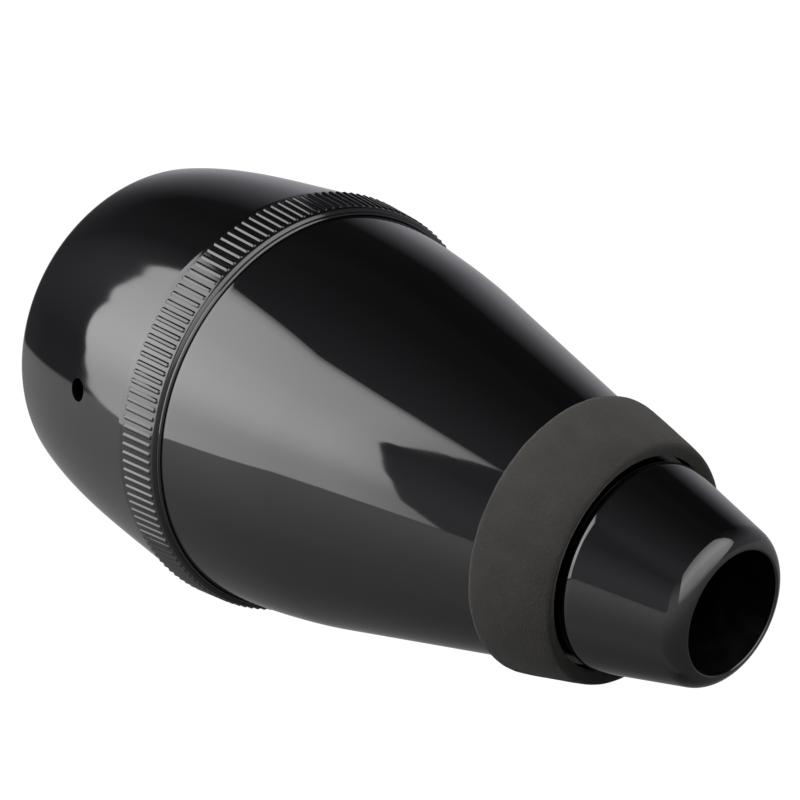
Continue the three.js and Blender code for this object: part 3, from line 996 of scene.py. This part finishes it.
# %% Directions of the room
TABLE_UP = Vector((-0.9617, -0.1609, -0.2219)).normalized()
TOWARDS_NOSE = (Vector((0, 0, 1)) - TABLE_UP.z * TABLE_UP).normalized()
TO_THE_BACK = TABLE_UP.cross(TOWARDS_NOSE)
OBJECT_MIDDLE = Vector((-4, 8, 53)) * MM


def towards(azimuth, elevation):
    """A direction of the room: 0 is the front, positive turns to the nose."""
    turned, raised = math.radians(azimuth), math.radians(elevation)
    level = -TO_THE_BACK * math.cos(turned) + TOWARDS_NOSE * math.sin(turned)
    return level * math.cos(raised) + TABLE_UP * math.sin(raised)


def facing(azimuth, elevation, distance):
    """The place and turn of a flat thing that faces the mute from a direction of the room."""
    away = towards(azimuth, elevation)
    sideways = towards(azimuth + 90, 0)
    upwards = away.cross(sideways)
    turned = Matrix((sideways, upwards, away)).transposed().to_4x4()
    return Matrix.Translation(OBJECT_MIDDLE + away * distance) @ turned


# %% [markdown]
# The two soft boxes are what the gloss mirrors most, so their cloth has to be right. The
# large one is brightest a little below its middle and falls off to the cap's side, and the
# one past the nose fades downwards. A lamp is equally bright all over, so each cloth is a
# card that glows by its own place on two ramps. Its edges aren't quite straight, so it is
# made from a grid, and each row of the grid is drawn out to its own two ends.

# %% Tools for a glowing cloth
def between(stops, at):
    """Reads a value off a list of stops."""
    if at <= stops[0][0]:
        return stops[0][1]
    for (low, first), (high, second) in zip(stops, stops[1:]):
        if at <= high:
            return first + (second - first) * (at - low) / (high - low)
    return stops[-1][1]


def ramp(tree, value, stops):
    """A grey level that changes along a value, by stops in the value's own unit."""
    low, high = stops[0][0], stops[-1][0]
    node = tree.nodes.new("ShaderNodeValToRGB")
    elements = node.color_ramp.elements
    elements.remove(elements[-1])
    elements[0].position = 0
    elements[0].color = (stops[0][1],) * 3 + (1,)
    for at, level in stops[1:]:
        elements.new((at - low) / (high - low)).color = (level,) * 3 + (1,)
    tree.links.new(spread(tree, value, 0, 1, low, high), node.inputs["Fac"])
    return node.outputs["Color"]


def calculate(tree, operation, first, second):
    """One step of arithmetic in a node tree."""
    node = tree.nodes.new("ShaderNodeMath")
    node.operation = operation
    feed(tree, node.inputs[0], first)
    feed(tree, node.inputs[1], second)
    return node.outputs["Value"]


def hang_cloth(name, place, left_edge, right_edge, by_height, by_side, strength):
    """A glowing card that only the gloss sees, with its ends given row by row in mm."""
    clear()
    bpy.ops.mesh.primitive_grid_add(x_subdivisions=1, y_subdivisions=64, size=1)
    cloth = start(name)
    low, high = left_edge[0][0], left_edge[-1][0]
    for vertex in cloth.data.vertices:
        height = low + (vertex.co.y + 0.5) * (high - low)
        side = between(left_edge if vertex.co.x < 0 else right_edge, height)
        vertex.co = Vector((side, height, 0)) * MM
    cloth.matrix_world = place
    glowing = bpy.data.materials.new(name)
    glowing.use_nodes = True
    tree = glowing.node_tree
    tree.nodes.clear()
    axes = tree.nodes.new("ShaderNodeSeparateXYZ")
    in_mm = tree.nodes.new("ShaderNodeVectorMath")
    in_mm.operation = "SCALE"
    in_mm.inputs["Scale"].default_value = 1 / MM
    tree.links.new(tree.nodes.new("ShaderNodeTexCoord").outputs["Object"], in_mm.inputs[0])
    tree.links.new(in_mm.outputs["Vector"], axes.inputs["Vector"])
    glow = tree.nodes.new("ShaderNodeEmission")
    glow.inputs["Strength"].default_value = strength
    level = calculate(
        tree, "MULTIPLY", ramp(tree, axes.outputs["Y"], by_height), ramp(tree, axes.outputs["X"], by_side))
    tree.links.new(level, glow.inputs["Color"])
    out = tree.nodes.new("ShaderNodeOutputMaterial")
    tree.links.new(glow.outputs["Emission"], out.inputs["Surface"])
    cloth.data.materials.append(glowing)
    cloth.visible_camera = False
    cloth.visible_diffuse = False
    cloth.visible_shadow = False
    report(cloth)


# %% [markdown]
# All stops are in millimetres from the middle of a cloth. The two edges say how far it
# reaches at each height, and the other lists say how bright it is there.

# %% Hang the large cloth
hang_cloth(
    "large_soft_box", facing(-33.6, 28.2, 0.206),
    left_edge=[
        (-122, -96), (-95, -92), (-80, -85.5), (-65, -82.5), (-50, -79.5), (10, -79), (25, -84.5),
        (40, -87.5), (55, -93), (70, -103), (85, -108), (135, -112)],
    right_edge=[
        (-122, 147), (-112, 145), (-92, 141), (-80, 137.5), (-40, 135), (-23, 132), (6, 129),
        (31, 125), (41, 125.5), (47, 129), (64, 132), (83, 135), (90, 137.5), (108, 139.5),
        (127, 144), (135, 146)],
    by_height=[
        (-122, 0.64), (-90, 0.66), (-70, 0.71), (-50, 0.85), (-30, 0.97), (-10, 1.0), (30, 0.93),
        (50, 0.87), (70, 0.84), (110, 0.78), (123, 0.66), (135, 0.2)],
    by_side=[
        (-112, 0.62), (-94, 0.65), (-76, 0.68), (-64, 0.71), (-40, 0.86), (0, 0.99), (30, 1.0),
        (90, 0.98), (115, 0.92), (147, 0.56)],
    strength=7.0)

# %% Hang the cloth past the nose
hang_cloth(
    "nose_soft_box", facing(95, 20, 0.30),
    left_edge=[(-145, -360), (245, -360)],
    right_edge=[(-145, 60), (-100, 90), (-30, 145), (0, 165), (60, 165), (140, 150), (245, 100)],
    by_height=[
        (-145, 0.20), (-128, 0.36), (-100, 0.55), (-71, 0.70), (0, 0.86), (30, 1.0), (90, 0.95),
        (169, 0.65), (245, 0.55)],
    by_side=[(-360, 0.9), (-100, 0.92), (-40, 1.0), (100, 0.95), (150, 0.7), (165, 0.3)],
    strength=4.9)

# %% [markdown]
# The three lamps are only for colour, so that the foam and the inside of the mute are lit
# softly from above, whatever the gloss mirrors. One stands at the front, one past the
# nose, and a weak one behind the camera.

# %% Lamps
def colour_lamp(name, place, width, power):
    """A square lamp that the camera and the gloss don't see."""
    data = bpy.data.lights.new(name, "AREA")
    data.shape = "SQUARE"
    data.size = width
    data.energy = power
    lamp = bpy.data.objects.new(name, data)
    bpy.context.scene.collection.objects.link(lamp)
    lamp.matrix_world = place
    lamp.visible_camera = False
    lamp.visible_glossy = False


behind_camera = Matrix.Translation(OBJECT_MIDDLE + behind * 0.9) @ turn.to_4x4()
colour_lamp("plain_key", facing(-30, 38, 0.60), 0.50, 3.85)
colour_lamp("plain_nose_key", facing(130, 40, 0.60), 0.35, 1.0)
colour_lamp("plain_fill", behind_camera, 0.50, 0.15)

# %% [markdown]
# The world does three things. The camera sees plain white. The gloss mirrors the white
# table below the room's horizon, brightest near the soft box, and the dark room above it.
# Colours get an even grey from all round. The mirrored room is written as it would be
# measured: by how high a direction points, and by how far round the room it is. It is
# tinted a little to blue, as the dark mirrored parts are.

# %% World
DEGREES = 180 / math.pi

world = bpy.data.worlds.new("studio")
bpy.context.scene.world = world
world.use_nodes = True
tree = world.node_tree
tree.nodes.clear()
ray = tree.nodes.new("ShaderNodeLightPath")
direction = tree.nodes.new("ShaderNodeTexCoord").outputs["Generated"]


def along_direction(axis):
    """How far a direction points along an axis, from -1 to 1."""
    node = tree.nodes.new("ShaderNodeVectorMath")
    node.operation = "DOT_PRODUCT"
    node.inputs[1].default_value = axis
    tree.links.new(direction, node.inputs[0])
    return node.outputs["Value"]


def background(colour, strength):
    """Light from the world, of one colour or of a pattern."""
    node = tree.nodes.new("ShaderNodeBackground")
    feed(tree, node.inputs["Color"], colour)
    node.inputs["Strength"].default_value = strength
    return node.outputs["Background"]


def choose(by, first, second):
    """Uses the second light where a ray is of one kind, and the first elsewhere."""
    node = tree.nodes.new("ShaderNodeMixShader")
    tree.links.new(by, node.inputs["Fac"])
    tree.links.new(first, node.inputs[1])
    tree.links.new(second, node.inputs[2])
    return node.outputs["Shader"]


BRIGHTEST = 1.5
DIM = 0.05
ROOM_TINT = (0.98, 0.98, 1.07)
TABLE_BY_HEIGHT = [
    (-90, 0.22), (-55, 0.30), (-45, 0.35), (-35, 0.39), (-25, 0.50), (-15, 0.66), (-5, 0.84)]
TABLE_BY_SIDE = [
    (-180, 0.36), (-110, 0.36), (-90, 0.46), (-70, 0.57), (-50, 0.76), (-30, 1.04), (-10, 0.96),
    (90, 0.8), (180, 0.4)]
LOW_ROOM = [
    (-180, 0.34), (-130, 0.32), (-119, 0.31), (-110, 0.20), (-98, 0.11), (-90, 0.08), (-70, 0.07),
    (-50, 0.12), (-12, 0.34), (3, 0.44), (7.5, 0.50), (9, 0.78), (40, 0.78), (60, 0.45),
    (140, 0.30), (180, 0.34)]
MIDDLE_ROOM = [
    (-180, 0.02), (-150, 0.02), (-110, 0.02), (-90, 0.05), (-70, 0.20), (-12, 0.24), (3, 0.20),
    (7.5, 0.20), (9, 0.26), (40, 0.26), (60, 0.30), (140, 0.12), (180, 0.02)]
CEILING = [(-0.6, 0.03), (-0.2, 0.05), (0.1, 0.10), (0.5, 0.20), (0.8, 0.24)]

raised = calculate(tree, "MULTIPLY", calculate(tree, "ARCSINE", along_direction(TABLE_UP), 0), DEGREES)
to_nose, to_front = along_direction(TOWARDS_NOSE), along_direction(-TO_THE_BACK)
round_room = calculate(tree, "MULTIPLY", calculate(tree, "ARCTAN2", to_nose, to_front), DEGREES)
table = calculate(
    tree, "MULTIPLY", ramp(tree, raised, TABLE_BY_HEIGHT), ramp(tree, round_room, TABLE_BY_SIDE))
ceiling = ramp(tree, along_direction(towards(10, 0)), CEILING)
low_room, middle_room = ramp(tree, round_room, LOW_ROOM), ramp(tree, round_room, MIDDLE_ROOM)
room = mix(tree, spread(tree, raised, 0, 1, 12, 36), low_room, middle_room)
room = mix(tree, spread(tree, raised, 0, 1, 52, 64), room, ceiling)
room = mix(tree, 1, room, ROOM_TINT, "MULTIPLY")
room = mix(tree, spread(tree, raised, 0, 1, -1.5, -0.5), table, room)
mirrored = calculate(tree, "MAXIMUM", ray.outputs["Is Glossy Ray"], ray.outputs["Is Transmission Ray"])
shown = choose(mirrored, background((1, 1, 1), DIM), background(room, BRIGHTEST))
shown = choose(ray.outputs["Is Camera Ray"], shown, background((1, 1, 1), 1.0))
output = tree.nodes.new("ShaderNodeOutputWorld")
tree.links.new(shown, output.inputs["Surface"])

# %% [markdown]
# ## The floor
#
# The floor is plain and white, and takes a soft shadow. The camera sees mostly its own
# light, so that it meets the white behind it without an edge, and a fifth of plain
# white paint, which is what keeps the shadow. The lamps stand on the far side of it, so
# it doesn't block them.

# %% Floor
FLOOR_SIZE = 6.0
FLOOR_DROP = 0.0002
FLOOR_GLOW = 1.24
GLOW_SHARE = 0.80

clear()
bpy.ops.mesh.primitive_plane_add(size=FLOOR_SIZE, location=(0, 0, -FLOOR_DROP))
floor = start("floor")
bpy.ops.object.transform_apply(location=True, rotation=True, scale=True)
paper = bpy.data.materials.new("white_floor")
paper.use_nodes = True
tree = paper.node_tree
tree.nodes.clear()
paint = tree.nodes.new("ShaderNodeBsdfDiffuse")
paint.inputs["Color"].default_value = (0.9, 0.9, 0.9, 1)
glow = tree.nodes.new("ShaderNodeEmission")
glow.inputs["Strength"].default_value = FLOOR_GLOW
mix = tree.nodes.new("ShaderNodeMixShader")
path = tree.nodes.new("ShaderNodeLightPath")
part = tree.nodes.new("ShaderNodeMath")
part.operation = "MULTIPLY"
part.inputs[1].default_value = GLOW_SHARE
tree.links.new(path.outputs["Is Camera Ray"], part.inputs[0])
tree.links.new(part.outputs["Value"], mix.inputs["Fac"])
tree.links.new(paint.outputs["BSDF"], mix.inputs[1])
tree.links.new(glow.outputs["Emission"], mix.inputs[2])
paper_output = tree.nodes.new("ShaderNodeOutputMaterial")
tree.links.new(mix.outputs["Shader"], paper_output.inputs["Surface"])
floor.data.materials.append(paper)
floor.visible_diffuse = False
floor.visible_glossy = False
floor.visible_transmission = False
floor.visible_shadow = False

bpy.context.scene.view_settings.view_transform = "Standard"
